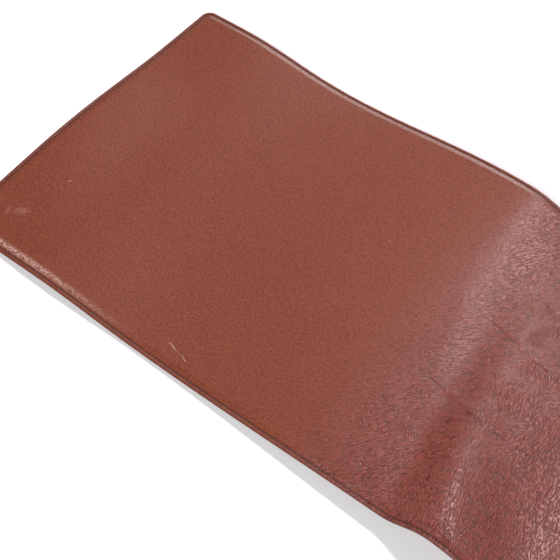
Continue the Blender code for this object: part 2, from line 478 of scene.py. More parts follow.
@dataclass(frozen=True)
class Relief:
    """The soft unevenness of the leather and the foam under it."""

    plan: Plan
    section: Section
    lump: float = 0.16 * MM
    lump_size: float = 55 * MM
    ripple: float = 0.10 * MM
    ripple_size: float = 16 * MM
    pucker: float = 0.10 * MM
    pucker_size: float = 6 * MM
    stretch_from: float = 0.345
    stretch_full: float = 0.455
    rest_from: float = 0.57
    rest_full: float = 0.67
    rest_share: float = 0.5
    creases: tuple[Crease, ...] = (
        Crease(
            ((0.428, 0.216), (0.444, 0.214), (0.463, 0.209), (0.495, 0.203), (0.540, 0.199)),
            height=0.75 * MM,
            steep=2.6 * MM,
            gentle=9.0 * MM,
        ),
        Crease(
            ((0.438, 0.131), (0.468, 0.126), (0.501, 0.115), (0.531, 0.120), (0.566, 0.128)),
            height=0.60 * MM,
            steep=2.0 * MM,
            gentle=6.0 * MM,
        ),
        Crease(
            ((0.515, 0.132), (0.530, 0.130), (0.552, 0.136)),
            height=0.40 * MM,
            steep=1.6 * MM,
            gentle=3.5 * MM,
        ),
    )
    dimples: tuple[Dimple, ...] = (
        Dimple(0.452, 0.213, 9 * MM, 5 * MM, math.radians(-20), 0.35 * MM),
        Dimple(0.540, 0.214, 15 * MM, 10 * MM, math.radians(-10), -0.55 * MM),
    )

    def stretched(self, along: Array) -> Array:
        """Return how far the leather has been bent and drawn, from 0 to 1."""
        bent = smooth_step(self.stretch_from, self.stretch_full, along)
        return bent * (1 - self.rest_share * smooth_step(self.rest_from, self.rest_full, along))

    def lift(self, x: Array, y: Array) -> Array:
        """Return how far the leather's face stands above its smooth shape."""
        edge = self.plan.inset(x, y)
        along, across = x + self.plan.length / 2, y + self.plan.width / 2
        field = smooth_step(self.section.shoulder_start, self.section.shoulder_end, edge)
        total = self.lump * field * soft_noise(x, y, self.lump_size, 3.7)
        ripples = soft_noise(x, y, self.ripple_size, 5.3)
        total += self.ripple * field * self.stretched(along) * ripples
        near_seam = bell((edge - self.section.shoulder_end * 0.8) / (3.5 * MM))
        total += self.pucker * near_seam * soft_noise(x, y, self.pucker_size, 8.1)
        for mark in self.creases + self.dimples:
            total += mark.lift(along, across) * field
        return total


# --------------------------------------------------------------------------------------------
# Mesh building.


def plan_sheet(lines_x: Array, lines_y: Array) -> bmesh.types.BMesh:
    """Make a flat sheet whose vertices lie where the grid lines cross.

    Args:
        lines_x: The places of the lines that run across the mat.
        lines_y: The places of the lines that run along the mat.

    Returns:
        The sheet, with its faces pointing up.
    """
    sheet = bmesh.new()
    count_x, count_y = len(lines_x) - 1, len(lines_y) - 1
    bmesh.ops.create_grid(sheet, x_segments=count_x, y_segments=count_y, size=1.0)
    for vert in sheet.verts:
        column = round((vert.co.x + 1) / 2 * count_x)
        row = round((vert.co.y + 1) / 2 * count_y)
        vert.co = (lines_x[column], lines_y[row], 0.0)
    return sheet


def places(verts: Sequence[bmesh.types.BMVert]) -> Array:
    """Return the places of vertices as an array with one row for each."""
    return np.array([vert.co for vert in verts])


def put(verts: Sequence[bmesh.types.BMVert], x: Array, y: Array, z: Array) -> None:
    """Move vertices to the places given by three arrays."""
    for vert, co in zip(verts, np.stack([x, y, z], axis=-1)):
        vert.co = co


def read_points(mesh: bpy.types.Mesh) -> Array:
    """Return the places of a mesh's vertices as an array with one row for each."""
    flat = np.empty(len(mesh.vertices) * 3, np.float32)
    mesh.vertices.foreach_get("co", flat)
    return flat.reshape(-1, 3).astype(float)


def write_points(mesh: bpy.types.Mesh, points: Array) -> None:
    """Move a mesh's vertices to the rows of an array."""
    mesh.vertices.foreach_set("co", points.astype(np.float32).ravel())
    mesh.update()


def write_uv(mesh: bpy.types.Mesh, name: str, values: Array, period: float = 0.0) -> None:
    """Store a pair of numbers for each vertex as a UV map.

    Args:
        mesh: The mesh to store them on.
        name: The UV map's name.
        values: One row of two numbers for each vertex.
        period: Where the first number starts again from 0, or 0 where it never does. A face
            that spans that place counts on past it, so that no face runs backwards.
    """
    layer = mesh.uv_layers.new(name=name)
    index = np.empty(len(mesh.loops), np.int32)
    mesh.loops.foreach_get("vertex_index", index)
    spread = values[index].astype(np.float32)
    if period:
        starts = np.empty(len(mesh.polygons), np.int32)
        mesh.polygons.foreach_get("loop_start", starts)
        highest = np.maximum.reduceat(spread[:, 0], starts)
        totals = np.diff(np.append(starts, len(index)))
        behind = spread[:, 0] < np.repeat(highest, totals) - period / 2
        spread[behind, 0] += period
    layer.data.foreach_set("uv", spread.ravel())


def write_number(mesh: bpy.types.Mesh, name: str, values: Array) -> None:
    """Store one number for each vertex as an attribute."""
    layer = mesh.attributes.new(name, "FLOAT", "POINT")
    layer.data.foreach_set("value", values.astype(np.float32))


def make_piece(name: str, shape: bmesh.types.BMesh) -> bpy.types.Object:
    """Turn a bmesh into a smooth-shaded object of the scene.

    Args:
        name: The piece's name.
        shape: The bmesh, which is freed.

    Returns:
        The new object, at the origin.
    """
    bmesh.ops.recalc_face_normals(shape, faces=shape.faces)
    mesh = bpy.data.meshes.new(name)
    shape.to_mesh(mesh)
    shape.free()
    mesh.shade_smooth()
    piece = bpy.data.objects.new(name, mesh)
    bpy.context.scene.collection.objects.link(piece)
    return piece


# --------------------------------------------------------------------------------------------
# Finishes.


class NodeGraph:
    """A node tree, with short ways to add what materials and stitches both use."""

    def __init__(self, tree: bpy.types.NodeTree) -> None:
        """Keep the tree that the nodes go into."""
        self.tree = tree

    def node(self, kind: str, **settings: object) -> bpy.types.Node:
        """Add a node of a kind, with its settings."""
        made = self.tree.nodes.new(kind)
        for key, value in settings.items():
            setattr(made, key, value)
        return made

    def feed(self, socket: bpy.types.NodeSocket, value: Source | Sequence[float]) -> None:
        """Link a socket to a source, or set it to a constant."""
        if isinstance(value, bpy.types.NodeSocket):
            self.tree.links.new(value, socket)
        else:
            socket.default_value = value

    def math(self, operation: str, a: Source, b: Source = 0.0, c: Source = 0.0) -> Source:
        """Return the result of a math operation."""
        made = self.node("ShaderNodeMath", operation=operation)
        for socket, value in zip(made.inputs, (a, b, c)):
            self.feed(socket, value)
        return made.outputs[0]


class ShaderGraph(NodeGraph):
    """A material's node tree, with short ways to add what the finishes use."""

    def __init__(self, name: str) -> None:
        """Start a material with a Principled shader."""
        self.material = bpy.data.materials.new(name)
        self.material.use_nodes = True
        super().__init__(self.material.node_tree)
        self.shader = self.tree.nodes["Principled BSDF"]

    def uv(self, name: str) -> bpy.types.NodeSocket:
        """Return a UV map of the piece."""
        return self.node("ShaderNodeUVMap", uv_map=name).outputs["UV"]

    def place(self) -> bpy.types.NodeSocket:
        """Return the place on the piece, in metres."""
        return self.node("ShaderNodeTexCoord").outputs["Object"]

    def number(self, name: str) -> bpy.types.NodeSocket:
        """Return a number that the piece's mesh stores under a name."""
        return self.node("ShaderNodeAttribute", attribute_name=name).outputs["Fac"]

    def ease(
        self, value: Source, low: float, high: float, start: float = 0.0, end: float = 1.0
    ) -> Source:
        """Return start below low, end above high, and a smooth change between them."""
        made = self.node("ShaderNodeMapRange", interpolation_type="SMOOTHSTEP")
        for key, given in zip(
            ("Value", "From Min", "From Max", "To Min", "To Max"), (value, low, high, start, end)
        ):
            self.feed(made.inputs[key], given)
        return made.outputs["Result"]

    def moved(
        self,
        vector: Source,
        location: Sequence[float] = (0, 0, 0),
        turn: float = 0.0,
        scale: Sequence[float] = (1, 1, 1),
    ) -> Source:
        """Return a place measured from another origin, turned and scaled."""
        made = self.node("ShaderNodeMapping", vector_type="TEXTURE")
        self.feed(made.inputs["Vector"], vector)
        made.inputs["Location"].default_value = location
        made.inputs["Rotation"].default_value = (0, 0, turn)
        made.inputs["Scale"].default_value = scale
        return made.outputs["Vector"]

    def noise(self, vector: Source, size: float, detail: float = 2.0, rough: float = 0.5) -> Source:
        """Return noise whose lumps have a size in metres."""
        made = self.node("ShaderNodeTexNoise", noise_dimensions="3D")
        self.feed(made.inputs["Vector"], vector)
        made.inputs["Scale"].default_value = 1 / size
        made.inputs["Detail"].default_value = detail
        made.inputs["Roughness"].default_value = rough
        return made.outputs["Fac"]

    def cells(self, vector: Source, size: float, feature: str = "F1") -> Source:
        """Return the distance field of cells of a size in metres."""
        made = self.node("ShaderNodeTexVoronoi", feature=feature)
        self.feed(made.inputs["Vector"], vector)
        made.inputs["Scale"].default_value = 1 / size
        return made.outputs["Distance"]

    def shifted(self, vector: Source, size: float, reach: float) -> Source:
        """Return a place pushed about by noise, as far as reach."""
        made = self.node("ShaderNodeTexNoise")
        self.feed(made.inputs["Vector"], vector)
        made.inputs["Scale"].default_value = 1 / size
        middle = self.node("ShaderNodeVectorMath", operation="SUBTRACT")
        self.feed(middle.inputs[0], made.outputs["Color"])
        middle.inputs[1].default_value = (0.5, 0.5, 0.5)
        push = self.node("ShaderNodeVectorMath", operation="SCALE")
        self.feed(push.inputs[0], middle.outputs[0])
        push.inputs["Scale"].default_value = reach
        total = self.node("ShaderNodeVectorMath", operation="ADD")
        self.feed(total.inputs[0], vector)
        self.feed(total.inputs[1], push.outputs[0])
        return total.outputs[0]

    def length(self, vector: Source) -> Source:
        """Return the length of a vector."""
        made = self.node("ShaderNodeVectorMath", operation="LENGTH")
        self.feed(made.inputs[0], vector)
        return made.outputs["Value"]

    def split(self, vector: Source) -> tuple[Source, Source]:
        """Return the first two numbers of a vector."""
        made = self.node("ShaderNodeSeparateXYZ")
        self.feed(made.inputs[0], vector)
        return made.outputs["X"], made.outputs["Y"]

    def tint(
        self,
        share: Source,
        a: Source | Sequence[float],
        b: Source | Sequence[float],
        blend: str = "MIX",
    ) -> Source:
        """Return a colour mixed from two."""
        made = self.node("ShaderNodeMix", data_type="RGBA", blend_type=blend)
        self.feed(made.inputs["Factor"], share)
        self.feed(made.inputs["A"], (*a, 1.0) if isinstance(a, tuple) else a)
        self.feed(made.inputs["B"], (*b, 1.0) if isinstance(b, tuple) else b)
        return made.outputs["Result"]

    def bump(self, height: Source, depth: float, strength: float = 1.0) -> None:
        """Roughen the surface by a height from 0 to 1, which stands for depth in metres."""
        made = self.node("ShaderNodeBump")
        made.inputs["Strength"].default_value = strength
        made.inputs["Distance"].default_value = depth
        self.feed(made.inputs["Height"], height)
        self.feed(self.shader.inputs["Normal"], made.outputs["Normal"])

    def set(self, key: str, value: Source | Sequence[float]) -> None:
        """Set or link one of the shader's own sockets."""
        if isinstance(value, tuple) and len(value) == 3 and key != "Normal":
            value = (*value, 1.0)
        self.feed(self.shader.inputs[key], value)


@dataclass(frozen=True)
class Scuff:
    """A worn mark on the leather. Places are from the left end and the front edge."""

    x: float
    y: float
    length: float
    width: float
    turn: float
    strength: float


@dataclass(frozen=True)
class LeatherFinish:
    """Red-brown leather with a fine printed grain, glazed, and worn along its shoulder; its colour
    also holds painted light: a painted highlight on the shoulder, and painted shade in the grain's
    valleys, the creases, the seam, the needle holes and over the bent half.
    """

    plan: Plan
    section: Section
    stitch_pitch: float
    # calm colours the flat half; drawn colours the bent half darker and less orange, which paints
    # in the bend's shade
    calm: tuple[float, float, float] = (0.296, 0.077, 0.037)
    drawn: tuple[float, float, float] = (0.240, 0.060, 0.042)
    # painted shade for the grain's valleys and the crease lines
    painted_valley_shade: tuple[float, float, float] = (0.32, 0.23, 0.21)
    deep: tuple[float, float, float] = (0.80, 0.66, 0.62)
    # worn colours the scuffs, and the shoulder, where it is partly wear and partly a painted
    # highlight
    worn: tuple[float, float, float] = (0.66, 0.44, 0.37)
    needle_hole_shade: tuple[float, float, float] = (0.05, 0.014, 0.010)
    seam_shade: tuple[float, float, float] = (0.30, 0.20, 0.20)
    pebble: float = 1.8 * MM
    lump: float = 2.2 * MM
    pore: float = 0.9 * MM
    wrinkle: float = 2.05 * MM
    patch: float = 34 * MM
    cloud: float = 45 * MM
    mottle: float = 3 * MM
    steep_run: tuple[float, float] = (58.0, 3.4)
    level_run: tuple[float, float] = (40.0, 3.8)
    upright_run: tuple[float, float] = (104.0, 3.2)
    wander: float = 0.22
    turn_from: float = 0.130
    turn_full: float = 0.165
    valley_shade_share: float = 0.92
    grain_depth: float = 0.36 * MM
    calm_depth: float = 0.22
    roughness: float = 0.40
    polish: float = 0.12
    specular: float = 0.42
    creases: tuple[Crease, ...] = ()
    scuffs: tuple[Scuff, ...] = (
        Scuff(0.247, 0.0215, 0.018, 0.0022, math.radians(-14), 0.8),
        Scuff(0.262, 0.0180, 0.014, 0.0018, math.radians(-18), 0.7),
        Scuff(0.041, 0.045, 0.018, 0.0110, math.radians(35), 0.30),
        Scuff(0.031, 0.038, 0.006, 0.0140, math.radians(10), 0.25),
        Scuff(0.051, 0.098, 0.006, 0.0026, math.radians(65), 0.5),
        Scuff(0.311, 0.152, 0.003, 0.0018, 0.0, 0.45),
        Scuff(0.325, 0.223, 0.003, 0.0015, 0.3, 0.40),
    )

    def folds(self, graph: ShaderGraph, hide: Source, run: tuple[float, float]) -> Source:
        """Return a field of long joined wrinkles, 0 in the valleys between them and 1 on top.

        Args:
            graph: The material's graph.
            hide: The place on the hide.
            run: The direction in which the wrinkles run, in degrees, and their length in widths.
        """
        turn, stretch = run
        place = graph.shifted(hide, 5 * self.wrinkle, 1.1 * self.wrinkle)
        place = graph.moved(place, turn=math.radians(turn), scale=(stretch, 1.0, 1.0))
        level = graph.math("SUBTRACT", graph.noise(place, self.wrinkle, 1.0, 0.45), 0.5)
        return graph.ease(graph.math("ABSOLUTE", level), 0.0, 0.105)

    def grain(self, graph: ShaderGraph, hide: Source) -> Source:
        """Return the grain's height: fine pebbles, and long wrinkles where the hide was bent."""
        cells = graph.cells(graph.shifted(hide, 5 * self.pebble, self.pebble), self.pebble, EDGES)
        fine = graph.ease(graph.noise(hide, self.pore, 2.0, 0.6), 0.34, 0.66)
        lumps = graph.ease(graph.noise(graph.moved(hide, (5, 5, 0)), self.lump, 2.0), 0.38, 0.62)
        pebbles = self.between(graph, 0.4, graph.ease(cells, 0.0, 0.30), lumps)
        pebbles = self.between(graph, 0.20, pebbles, fine)
        steep = self.folds(graph, hide, self.steep_run)
        upright = self.folds(graph, hide, self.upright_run)
        level = self.folds(graph, hide, self.level_run)
        first = graph.ease(graph.noise(hide, self.patch, 1.0), 0.44, 0.56)
        wander = graph.noise(graph.moved(hide, (9, 4, 0)), self.patch, 1.0)
        along, _ = graph.split(hide)
        middle = graph.math("ADD", along, -self.wander / 2)
        past = graph.math("MULTIPLY_ADD", wander, self.wander, middle)
        second = graph.ease(past, self.turn_from, self.turn_full)
        drawn = self.between(graph, second, self.between(graph, first, steep, level), upright)
        drawn = self.between(graph, 0.12, drawn, fine)
        return self.between(graph, graph.number("bent"), pebbles, drawn)

    @staticmethod
    def between(graph: ShaderGraph, share: Source, a: Source, b: Source) -> Source:
        """Return the value the given share of the way from a to b."""
        made = graph.node("ShaderNodeMix", data_type="FLOAT")
        for key, value in (("Factor", share), ("A", a), ("B", b)):
            graph.feed(made.inputs[key], value)
        return made.outputs["Result"]

    def wear_and_highlight(self, graph: ShaderGraph, hide: Source) -> Source:
        """Return how worn the leather is: scuffs, and the pale shoulder near the front left, which
        is partly wear and partly a painted highlight.
        """
        total: Source = 0.0
        for scuff in self.scuffs:
            centre = (scuff.x - self.plan.length / 2, scuff.y - self.plan.width / 2, 0)
            size = (scuff.length / 2, scuff.width / 2, 1)
            near = graph.length(graph.moved(hide, centre, scuff.turn, size))
            streaks = graph.noise(graph.moved(hide, centre, scuff.turn, (3, 1, 1)), 0.7 * MM, 3.0)
            mark = graph.math(
                "MULTIPLY", graph.ease(near, 1.1, 0.2), graph.ease(streaks, 0.42, 0.60)
            )
            total = graph.math("MULTIPLY_ADD", mark, scuff.strength, total)
        # The rubbed shoulder is partly wear and partly a painted highlight along it
        turned = graph.moved(hide, turn=math.radians(75), scale=(2.6, 1.0, 1.0))
        flecks = graph.ease(graph.noise(turned, 1.2 * MM, 2.0), 0.38, 0.58)
        worn = graph.math("MULTIPLY", graph.number("rubbed_and_highlit"), flecks)
        return graph.math("MINIMUM", graph.math("ADD", total, worn), 1.0)

    def crease_shade_lines(self, graph: ShaderGraph, hide: Source) -> Source:
        """Return 1 in the sharp lines at the foot of the creases and 0 away from them, where the
        colour takes painted shade and the face dips.
        """
        total: Source = 0.0
        for crease in self.creases:
            for (x0, y0), (x1, y1) in zip(crease.points, crease.points[1:]):
                middle_x = (x0 + x1 - self.plan.length) / 2
                middle_y = (y0 + y1 - self.plan.width) / 2 - crease.steep
                size = (math.hypot(x1 - x0, y1 - y0) * 0.75, crease.line, 1)
                turn = math.atan2(y1 - y0, x1 - x0)
                turned = graph.moved(hide, (middle_x, middle_y, 0), turn, size)
                total = graph.math("MAXIMUM", total, graph.ease(graph.length(turned), 1.0, 0.3))
        breaks = graph.ease(graph.noise(hide, 6 * MM, 2.0), 0.30, 0.55)
        return graph.math("MULTIPLY", total, breaks)

    def rim_shade(self, graph: ShaderGraph) -> Source:
        """Return how much painted shade darkens the leather along the seam groove and round the
        folded edge.
        """
        _, edge = graph.split(graph.uv("rim"))
        aside = graph.math("ABSOLUTE", graph.math("SUBTRACT", edge, self.section.seam_inset))
        seam = graph.ease(aside, 1.5 * MM, 0.5 * MM, 0.0, 0.85)
        fold = graph.ease(edge, 1.0 * MM, -0.6 * MM, 0.0, 0.80)
        return graph.math("MAXIMUM", seam, fold)

    def holes(self, graph: ShaderGraph) -> Source:
        """Return 1 in the needle holes of the seam and 0 away from them."""
        along, edge = graph.split(graph.uv("rim"))
        phase = graph.math("FRACT", graph.math("DIVIDE", along, self.stitch_pitch))
        near_x = graph.math("ABSOLUTE", graph.math("SUBTRACT", phase, 0.5))
        from_hole = graph.math("SUBTRACT", 0.5, near_x)
        from_hole = graph.math("MULTIPLY", from_hole, self.stitch_pitch)
        aside = graph.math("SUBTRACT", edge, self.section.seam_inset)
        squares = graph.math("ADD", self.square(graph, from_hole), self.square(graph, aside))
        reach = graph.math("SQRT", squares)
        return graph.ease(reach, 0.75 * MM, 0.25 * MM)

    @staticmethod
    def square(graph: ShaderGraph, value: Source) -> Source:
        """Return a value times itself."""
        return graph.math("MULTIPLY", value, value)

    def make(self) -> bpy.types.Material:
        """Return the leather's material."""
        graph = ShaderGraph("grained_leather")
        hide = graph.uv("hide")
        grain = self.grain(graph, hide)
        wear_and_highlight = self.wear_and_highlight(graph, hide)
        holes = self.holes(graph)
        bent = graph.number("bent")
        cloud = graph.noise(hide, self.cloud, 3.0)
        mottle = graph.noise(hide, self.mottle, 3.0, 0.6)
        share = graph.math("MULTIPLY_ADD", mottle, 0.6, graph.math("MULTIPLY", cloud, 0.4))
        # Painted shade: the bent half takes the darker drawn colour
        colour = graph.tint(bent, self.calm, self.drawn)
        dyed = graph.ease(share, 0.65, 0.35, 0.0, 0.22)
        colour = graph.tint(dyed, colour, self.deep, "MULTIPLY")
        # Painted shade: the grain's valleys and the wrinkles' creases are darkened in the colour
        dark = graph.math("SUBTRACT", 1.0, grain)
        dark = graph.math("MULTIPLY", dark, self.valley_shade_share)
        colour = graph.tint(dark, colour, self.painted_valley_shade, "MULTIPLY")
        lines = self.crease_shade_lines(graph, graph.shifted(hide, 14 * MM, 5 * MM))
        # Painted shade: a dark line along the foot of each crease
        colour = graph.tint(graph.math("MULTIPLY", lines, 0.40), colour, self.painted_valley_shade, "MULTIPLY")
        # Scuffs are wear; the pale shoulder is partly wear and partly a painted highlight
        colour = graph.tint(graph.math("MULTIPLY", wear_and_highlight, 0.85), colour, self.worn)
        # Painted shade along the seam groove and round the fold
        colour = graph.tint(self.rim_shade(graph), colour, self.seam_shade, "MULTIPLY")
        # Painted shade: the needle holes are coloured almost black
        colour = graph.tint(graph.math("MULTIPLY", holes, 0.9), colour, self.needle_hole_shade)
        graph.set("Base Color", colour)
        rough = graph.math("MULTIPLY_ADD", grain, -self.polish, self.roughness)
        rough = graph.math("MULTIPLY_ADD", wear_and_highlight, 0.10, rough)
        graph.set("Roughness", rough)
        graph.set("Specular IOR Level", self.specular)
        relief = graph.math("MULTIPLY", grain, self.between(graph, bent, self.calm_depth, 1.0))
        height = graph.math("MULTIPLY_ADD", lines, -0.8, relief)
        height = graph.math("MULTIPLY_ADD", holes, -1.0, height)
        graph.bump(height, self.grain_depth)
        return graph.material


@dataclass(frozen=True)
class SuedeFinish:
    """The matt, napped flesh side of split leather."""

    base: tuple[float, float, float] = (0.105, 0.048, 0.034)
    pale: tuple[float, float, float] = (0.150, 0.075, 0.055)

    def make(self) -> bpy.types.Material:
        """Return the suede's material."""
        graph = ShaderGraph("sueded_lining")
        place = graph.place()
        nap = graph.noise(place, 0.6 * MM, 4.0, 0.65)
        brushed = graph.noise(graph.moved(place, scale=(4, 1, 1)), 7 * MM, 3.0)
        share = graph.math("MULTIPLY_ADD", nap, 0.4, graph.math("MULTIPLY", brushed, 0.6))
        graph.set("Base Color", graph.tint(graph.ease(share, 0.35, 0.65), self.base, self.pale))
        graph.set("Roughness", 0.92)
        graph.set("Specular IOR Level", 0.2)
        graph.set("Sheen Weight", 0.25)
        graph.set("Sheen Roughness", 0.5)
        graph.bump(nap, 0.12 * MM)
        return graph.material


@dataclass(frozen=True)
class ThreadFinish:
    """Waxed three-ply thread."""

    base: tuple[float, float, float] = (0.115, 0.033, 0.022)
    pale: tuple[float, float, float] = (0.190, 0.070, 0.050)
    plies_per_stitch: float = 5.0

    def make(self) -> bpy.types.Material:
        """Return the thread's material."""
        graph = ShaderGraph("waxed_thread")
        ply_place = graph.node("ShaderNodeAttribute", attribute_name="ply").outputs["Vector"]
        along, round_it = graph.split(ply_place)
        turns = graph.math("MULTIPLY_ADD", along, self.plies_per_stitch, round_it)
        wave = graph.math("SINE", graph.math("MULTIPLY", turns, 2 * math.pi))
        ply = graph.ease(wave, -1.0, 0.6)
        graph.set("Base Color", graph.tint(ply, self.base, self.pale))
        graph.set("Roughness", 0.48)
        graph.bump(ply, 0.08 * MM)
        return graph.material


@dataclass(frozen=True)
class CoreFinish:
    """A plain inner material with a fine speckle: foam, board or tape."""

    name: str
    base: tuple[float, float, float]
    speck: tuple[float, float, float]
    size: float
    roughness: float
    depth: float

    def make(self) -> bpy.types.Material:
        """Return the inner material."""
        graph = ShaderGraph(self.name)
        place = graph.place()
        cells = graph.cells(graph.shifted(place, self.size * 4, self.size), self.size)
        fibre = graph.noise(place, self.size * 2, 4.0, 0.6)
        share = graph.math("MULTIPLY", cells, fibre)
        graph.set("Base Color", graph.tint(graph.ease(share, 0.1, 0.4), self.base, self.speck))
        graph.set("Roughness", self.roughness)
        graph.bump(share, self.depth)
        return graph.material


# --------------------------------------------------------------------------------------------
# The layers of the mat.


@dataclass
class Layer:
    """What every layer of the mat shares: its plan, its wave and its section."""

    plan: Plan
    wave: Wave
    section: Section
    relief: Relief

    def lay(self, points: Array) -> Array:
        """Raise flat points by the wave that the mat lies in."""
        points[:, 2] += self.wave.height(points[:, 0], points[:, 1])
        return points

    def sheet(self, rim: Sequence[float], step: float) -> bmesh.types.BMesh:
        """Make a flat, round-cornered sheet.

        Args:
            rim: The distances from the mat's edge of the rim's grid lines, outermost first.
            step: The greatest distance between two lines of the field.

        Returns:
            The sheet.
        """
        sheet = plan_sheet(
            self.plan.lines(self.plan.length, rim, step),
            self.plan.lines(self.plan.width, rim, step),
        )
        verts = list(sheet.verts)
        points = places(verts)
        x, y = self.plan.rounded(points[:, 0], points[:, 1])
        put(verts, x, y, points[:, 2])
        return sheet

    def slab(
        self, name: str, sheet: bmesh.types.BMesh, low: Level, high: Level
    ) -> bpy.types.Object:
        """Thicken a flat sheet between two levels and lay it.

        Args:
            name: The piece's name.
            sheet: The flat sheet.
            low: The lower face's level at distances from the mat's edge.
            high: The upper face's level at distances from the mat's edge.

        Returns:
            The closed piece.
        """
        raised = bmesh.ops.extrude_face_region(sheet, geom=list(sheet.faces))
        upper = {item for item in raised["geom"] if isinstance(item, bmesh.types.BMVert)}
        verts = list(sheet.verts)
        is_upper = np.array([vert in upper for vert in verts])
        points = places(verts)
        edge = self.plan.inset(points[:, 0], points[:, 1])
        points[:, 2] = np.where(is_upper, high(edge), low(edge))
        points = self.lay(points)
        put(verts, points[:, 0], points[:, 1], points[:, 2])
        return make_piece(name, sheet)


@dataclass
class TopLeather(Layer):
    """The leather face, with its folded edge and the lip that is turned in underneath."""

    step: float = 3.2 * MM
    fold_steps: int = 12
    rim: tuple[float, ...] = (1.7, 2.2, 2.7, 3.15, 3.6, 4.05, 4.5, 5.2, 6.0, 7.0, 8.2, 9.2, 10.0)
    last_lines: tuple[float, ...] = (11.2, 12.8)
    lip_lines: tuple[float, ...] = (3.6, 5.0, 7.5, 8.5)

    def fold_places(self) -> list[tuple[float, float]]:
        """Return the fold and the lip in section, as distances from the edge and levels."""
        radius = self.section.fold_radius
        base = self.section.underside(0.0) + self.section.lip_level
        angles = [math.pi * (0.5 - i / self.fold_steps) for i in range(1, self.fold_steps + 1)]
        fold = [(radius * (1 - math.cos(a)), base + radius * (1 + math.sin(a))) for a in angles]
        lip = [
            (line * MM, float(self.section.underside(line * MM)) + self.section.lip_level)
            for line in self.lip_lines
        ]
        return fold + lip

    def build(self) -> bpy.types.Object:
        """Return the leather piece."""
        section = self.section
        rim = [section.fold_radius] + [line * MM for line in self.rim + self.last_lines]
        sheet = self.sheet(rim, self.step)
        verts = list(sheet.verts)
        points = places(verts)
        edge = self.plan.inset(points[:, 0], points[:, 1])
        lift = self.relief.lift(points[:, 0], points[:, 1])
        top = section.top_side(edge) + lift * smooth_step(section.fold_radius, 2.4 * MM, edge)
        put(verts, points[:, 0], points[:, 1], top)
        hide = [tuple(row) for row in points[:, :2]]
        rims = [float(value) for value in edge]
        self.fold(sheet, hide, rims)
        piece = make_piece("top_leather_skin", sheet)
        self.map_hide(piece.data, np.array(hide), np.array(rims))
        write_points(piece.data, self.lay(read_points(piece.data)))
        return piece

    def fold(
        self, sheet: bmesh.types.BMesh, hide: list[tuple[float, float]], rims: list[float]
    ) -> None:
        """Extrude the sheet's edge round the fold and in under the mat.

        Args:
            sheet: The flat face.
            hide: Each vertex's place on the flat hide, which grows with the new vertices.
            rims: Each vertex's distance inside the edge, likewise, negative past the fold.
        """
        edges = [edge for edge in sheet.edges if edge.is_boundary]
        before = (self.section.fold_radius, float(self.section.top_side(self.section.fold_radius)))
        past = 0.0
        for distance, level in self.fold_places():
            past += math.hypot(distance - before[0], level - before[1])
            before = (distance, level)
            made = bmesh.ops.extrude_edge_only(sheet, edges=edges)["geom"]
            sheet.verts.index_update()
            fresh = [item for item in made if isinstance(item, bmesh.types.BMVert)]
            fresh.sort(key=lambda vert: vert.index)
            edges = [item for item in made if isinstance(item, bmesh.types.BMEdge)]
            points = places(fresh)
            x, y = points[:, 0], points[:, 1]
            inset = self.plan.inset(x, y)
            out_x, out_y = self.plan.outward(x, y)
            out = inset - distance
            put(fresh, x + out_x * out, y + out_y * out, np.full_like(x, level))
            flat = inset - self.section.fold_radius + past
            hide.extend(zip(x + out_x * flat, y + out_y * flat))
            rims.extend([self.section.fold_radius - past] * len(fresh))

    def map_hide(self, mesh: bpy.types.Mesh, hide: Array, rims: Array) -> None:
        """Store the leather's flat places, its place along the seam, where it is worn and where the
        shoulder takes a painted highlight.
        """
        points = read_points(mesh)
        x, y = points[:, 0], points[:, 1]
        write_uv(mesh, "hide", hide)
        inset = self.section.seam_inset
        along = self.plan.along_seam(inset, x, y)
        write_uv(mesh, "rim", np.stack([along, rims], axis=-1), self.plan.seam_length(inset))
        from_left, from_front = x + self.plan.length / 2, y + self.plan.width / 2
        # The rubbed band on the front-left shoulder is partly wear and partly a painted highlight
        shoulder = bell((rims - self.section.shoulder_end * 0.85) / (2.3 * MM))
        by_front = (from_front < 14 * MM) * smooth_step(0.24, 0.05, from_left)
        write_number(mesh, "rubbed_and_highlit", shoulder * by_front)
        write_number(mesh, "bent", np.clip(self.relief.stretched(from_left), 0.10, 1.0))

    def dress(self, piece: bpy.types.Object, finish: LeatherFinish) -> None:
        """Give the leather its thickness and its finish, and place it in the frame."""
        shell = piece.modifiers.new("thickness", "SOLIDIFY")
        shell.thickness = self.section.leather
        shell.offset = -1.0
        shell.use_even_offset = True
        piece.data.materials.append(finish.make())
        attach(piece, BODY)
        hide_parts("top_leather")


@dataclass
class Lining(Layer):
    """The thin sueded sheet that covers the underside."""

    step: float = 6.0 * MM
    rim: tuple[float, ...] = (2.4, 3.1, 3.6, 4.1, 5.0, 6.5, 8.2, 10.0, 12.5)
    press_depth: float = 0.25 * MM
    press_half: float = 0.7 * MM

    def build(self) -> bpy.types.Object:
        """Return the lining piece."""
        section = self.section
        rim = [section.lining_inset] + [line * MM for line in self.rim]
        sheet = self.sheet(rim, self.step)
        return self.slab(
            "lining_sheet",
            sheet,
            lambda e: section.underside(e) + self.press(e),
            lambda e: section.underside(e) + section.lining,
        )

    def press(self, edge: Array) -> Array:
        """Return how far the seam presses into the lining's underside."""
        return self.press_depth * bell((edge - self.section.seam_inset) / self.press_half)

    def dress(self, piece: bpy.types.Object, finish: SuedeFinish) -> None:
        """Give the lining its finish and place it in the frame."""
        piece.data.materials.append(finish.make())
        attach(piece, BODY)
        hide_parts("lining")


